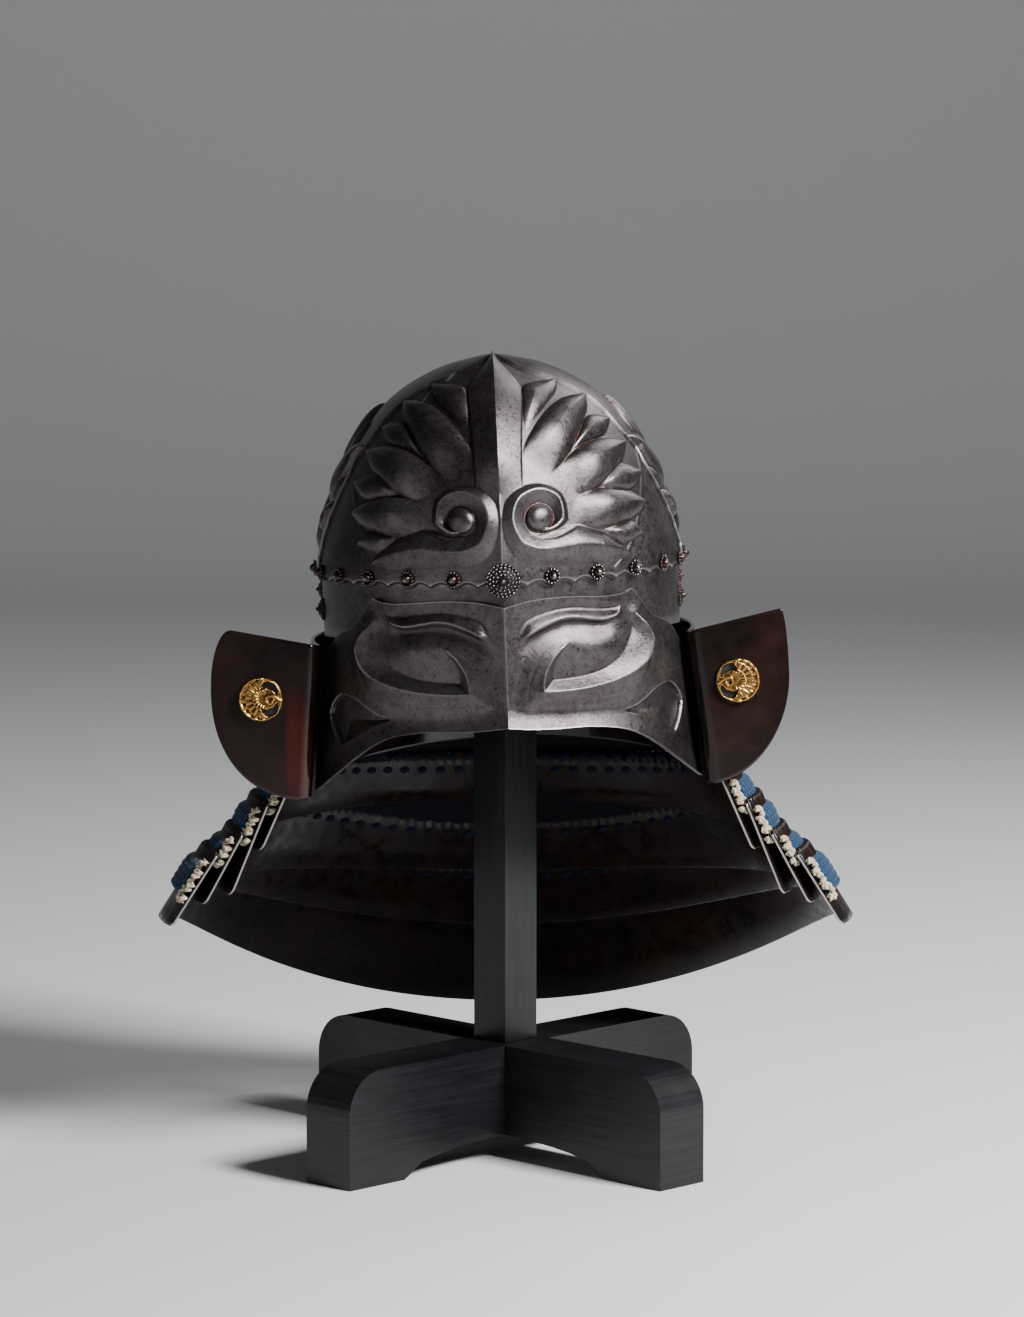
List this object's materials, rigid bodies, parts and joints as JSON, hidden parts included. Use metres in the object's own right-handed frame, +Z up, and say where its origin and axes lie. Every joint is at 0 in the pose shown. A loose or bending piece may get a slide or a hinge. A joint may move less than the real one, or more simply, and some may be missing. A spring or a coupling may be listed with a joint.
{
  "type": "samurai helmet on wooden cross stand",
  "caption": "Samurai helmet with an embossed iron bowl, a carved visor, curled turnbacks and a flared laced neck guard, resting on the post of a wooden cross stand",
  "frame": {"origin": "on the floor, under the middle of the whole extent of the helmet and its stand", "axes": "+X to the right as seen from the front, -Y to the front, where the visor is, +Z up"},
  "size_m": [0.383, 0.3142, 0.4405],
  "materials": {
    "iron": "russet patinated iron, satin, a little pitted",
    "lacquer": "dark brown and black lacquer, glossy, worn along the edges",
    "lacing": "deep blue silk lacing",
    "cord": "cream cord flecked with green and gold",
    "gold": "gilt metal, softly worn",
    "wood": "black stained and lacquered wood, worn at the edges"
  },
  "bodies": {
    "root": {"bowl_front": "iron", "bowl_left": "iron", "bowl_right": "iron", "brow_band": "iron", "crest_left": "gold", "crest_right": "gold", "cross_board_lower": "wood", "cross_board_upper": "wood", "edge_cord_2_left": "cord", "edge_cord_2_right": "cord", "edge_cord_3_left": "cord", "edge_cord_3_right": "cord", "edge_cord_4_left": "cord", "edge_cord_4_right": "cord", "edge_cord_5_left": "cord", "edge_cord_5_right": "cord", "head_rest": "wood", "lacing_1": "lacing", "lacing_2": "lacing", "lacing_3": "lacing", "lacing_4": "lacing", "lacing_5": "lacing", "lame_1": "lacquer", "lame_2": "lacquer", "lame_3": "lacquer", "lame_4": "lacquer", "lame_5": "lacquer", "post": "wood", "rivet_01": "iron", "rivet_02": "iron", "rivet_03": "iron", "rivet_04": "iron", "rivet_05": "iron", "rivet_06": "iron", "rivet_07": "iron", "rivet_08": "iron", "rivet_09": "iron", "rivet_10": "iron", "rivet_11": "iron", "rivet_12": "iron", "rivet_13": "iron", "rivet_14": "iron", "rivet_15": "iron", "rivet_16": "iron", "rivet_17": "iron", "rivet_18": "iron", "rivet_19": "iron", "rivet_20": "iron", "rivet_21": "iron", "rivet_22": "iron", "rivet_23": "iron", "rosette_front": "iron", "rosette_left_front": "iron", "rosette_left_rear": "iron", "rosette_right_front": "iron", "rosette_right_rear": "iron", "visor": "iron"}
  },
  "joints": []
}
